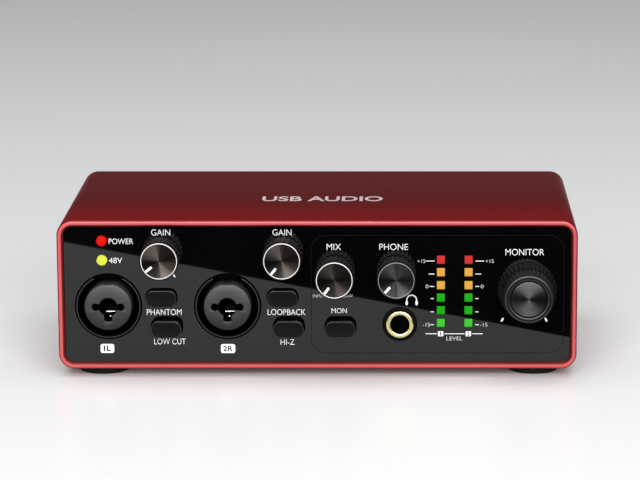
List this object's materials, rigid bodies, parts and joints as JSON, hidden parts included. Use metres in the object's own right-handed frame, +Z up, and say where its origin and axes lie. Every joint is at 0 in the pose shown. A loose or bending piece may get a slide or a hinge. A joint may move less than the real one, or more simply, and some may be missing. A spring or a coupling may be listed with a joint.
{
  "type": "audio interface",
  "caption": "Desktop audio interface: rounded metal sleeve, gloss front panel with input jacks, rotary knobs, push buttons, lights and rubber feet.",
  "frame": {"origin": "centre of the footprint on the surface that it stands on", "axes": "+Z up, the front panel faces -Y, +X to the right seen from the front"},
  "size_m": [0.184, 0.1142, 0.0567],
  "materials": {
    "anodised_case": "satin red anodised",
    "gloss_panel": "gloss black with white print",
    "painted_panel": "satin black",
    "bright_metal": "bright plated",
    "circuit_board": "green solder mask",
    "satin_plastic": "satin black",
    "insert_plastic": "satin dark grey",
    "gold_metal": "gold plated",
    "knob_plastic": "satin black fluted",
    "spun_metal": "spun dark anodised with a bright edge",
    "button_plastic": "satin black",
    "light_red": "lit red lens",
    "light_yellow": "lit yellow lens",
    "light_green": "lit level lights, green, orange and red",
    "rubber_foot": "matte black"
  },
  "bodies": {
    "chassis": {"case_sleeve": "anodised_case", "front_panel": "gloss_panel", "rear_panel": "painted_panel", "rear_screw_top_left": "bright_metal", "rear_screw_top_right": "bright_metal", "rear_screw_bottom_left": "bright_metal", "rear_screw_bottom_right": "bright_metal", "main_pcb": "circuit_board", "front_pcb": "circuit_board", "combo_jack_1": "satin_plastic", "combo_insert_1": "insert_plastic", "combo_jack_2": "satin_plastic", "combo_insert_2": "insert_plastic", "headphone_jack": "satin_plastic", "headphone_ring": "gold_metal", "pot_gain_1": "bright_metal", "pot_gain_2": "bright_metal", "pot_mix": "bright_metal", "pot_phones": "bright_metal", "pot_monitor": "bright_metal", "switch_phantom": "bright_metal", "switch_low_cut": "bright_metal", "switch_loopback": "bright_metal", "switch_hi_z": "bright_metal", "switch_mon": "bright_metal", "led_power": "light_red", "led_phantom": "light_yellow", "meter_bar_left": "light_green", "meter_bar_right": "light_green", "output_jack_left": "satin_plastic", "output_nut_left": "bright_metal", "output_jack_right": "satin_plastic", "output_nut_right": "bright_metal", "usb_socket": "bright_metal", "foot_front_left": "rubber_foot", "foot_rear_left": "rubber_foot", "foot_front_right": "rubber_foot", "foot_rear_right": "rubber_foot"},
    "rotary_gain_1": {"knob_gain_1": "knob_plastic", "cap_gain_1": "spun_metal", "shaft_gain_1": "bright_metal"},
    "rotary_gain_2": {"knob_gain_2": "knob_plastic", "cap_gain_2": "spun_metal", "shaft_gain_2": "bright_metal"},
    "rotary_mix": {"knob_mix": "knob_plastic", "cap_mix": "spun_metal", "shaft_mix": "bright_metal"},
    "rotary_phones": {"knob_phones": "knob_plastic", "cap_phones": "spun_metal", "shaft_phones": "bright_metal"},
    "rotary_monitor": {"knob_monitor": "knob_plastic", "cap_monitor": "spun_metal", "shaft_monitor": "bright_metal"},
    "key_phantom": {"button_phantom": "button_plastic"},
    "key_low_cut": {"button_low_cut": "button_plastic"},
    "key_loopback": {"button_loopback": "button_plastic"},
    "key_hi_z": {"button_hi_z": "button_plastic"},
    "key_mon": {"button_mon": "button_plastic"}
  },
  "joints": [
    {"name": "gain_1_turn", "type": "hinge", "parent": "chassis", "child": "rotary_gain_1", "pos_m": [-0.0552, -0.04235, 0.0441], "axis": [0, 1, 0], "range_deg": [-21, 279]},
    {"name": "gain_2_turn", "type": "hinge", "parent": "chassis", "child": "rotary_gain_2", "pos_m": [-0.0122, -0.04235, 0.0441], "axis": [0, 1, 0], "range_deg": [-9, 291]},
    {"name": "mix_turn", "type": "hinge", "parent": "chassis", "child": "rotary_mix", "pos_m": [0.0062, -0.04235, 0.03725], "axis": [0, 1, 0], "range_deg": [-6, 294]},
    {"name": "phones_turn", "type": "hinge", "parent": "chassis", "child": "rotary_phones", "pos_m": [0.0279, -0.04235, 0.03725], "axis": [0, 1, 0], "range_deg": [-12, 288]},
    {"name": "monitor_turn", "type": "hinge", "parent": "chassis", "child": "rotary_monitor", "pos_m": [0.0743, -0.04235, 0.0313], "axis": [0, 1, 0], "range_deg": [0, 300]},
    {"name": "phantom_press", "type": "slide", "parent": "chassis", "child": "key_phantom", "axis": [0, 1, 0], "range_m": [-0.002, 0.0005], "stiffness_N_per_m": 300},
    {"name": "low_cut_press", "type": "slide", "parent": "chassis", "child": "key_low_cut", "axis": [0, 1, 0], "range_m": [0, 0.0025], "stiffness_N_per_m": 300},
    {"name": "loopback_press", "type": "slide", "parent": "chassis", "child": "key_loopback", "axis": [0, 1, 0], "range_m": [-0.002, 0.0005], "stiffness_N_per_m": 300},
    {"name": "hi_z_press", "type": "slide", "parent": "chassis", "child": "key_hi_z", "axis": [0, 1, 0], "range_m": [0, 0.0025], "stiffness_N_per_m": 300},
    {"name": "mon_press", "type": "slide", "parent": "chassis", "child": "key_mon", "axis": [0, 1, 0], "range_m": [0, 0.0025], "stiffness_N_per_m": 300}
  ]
}
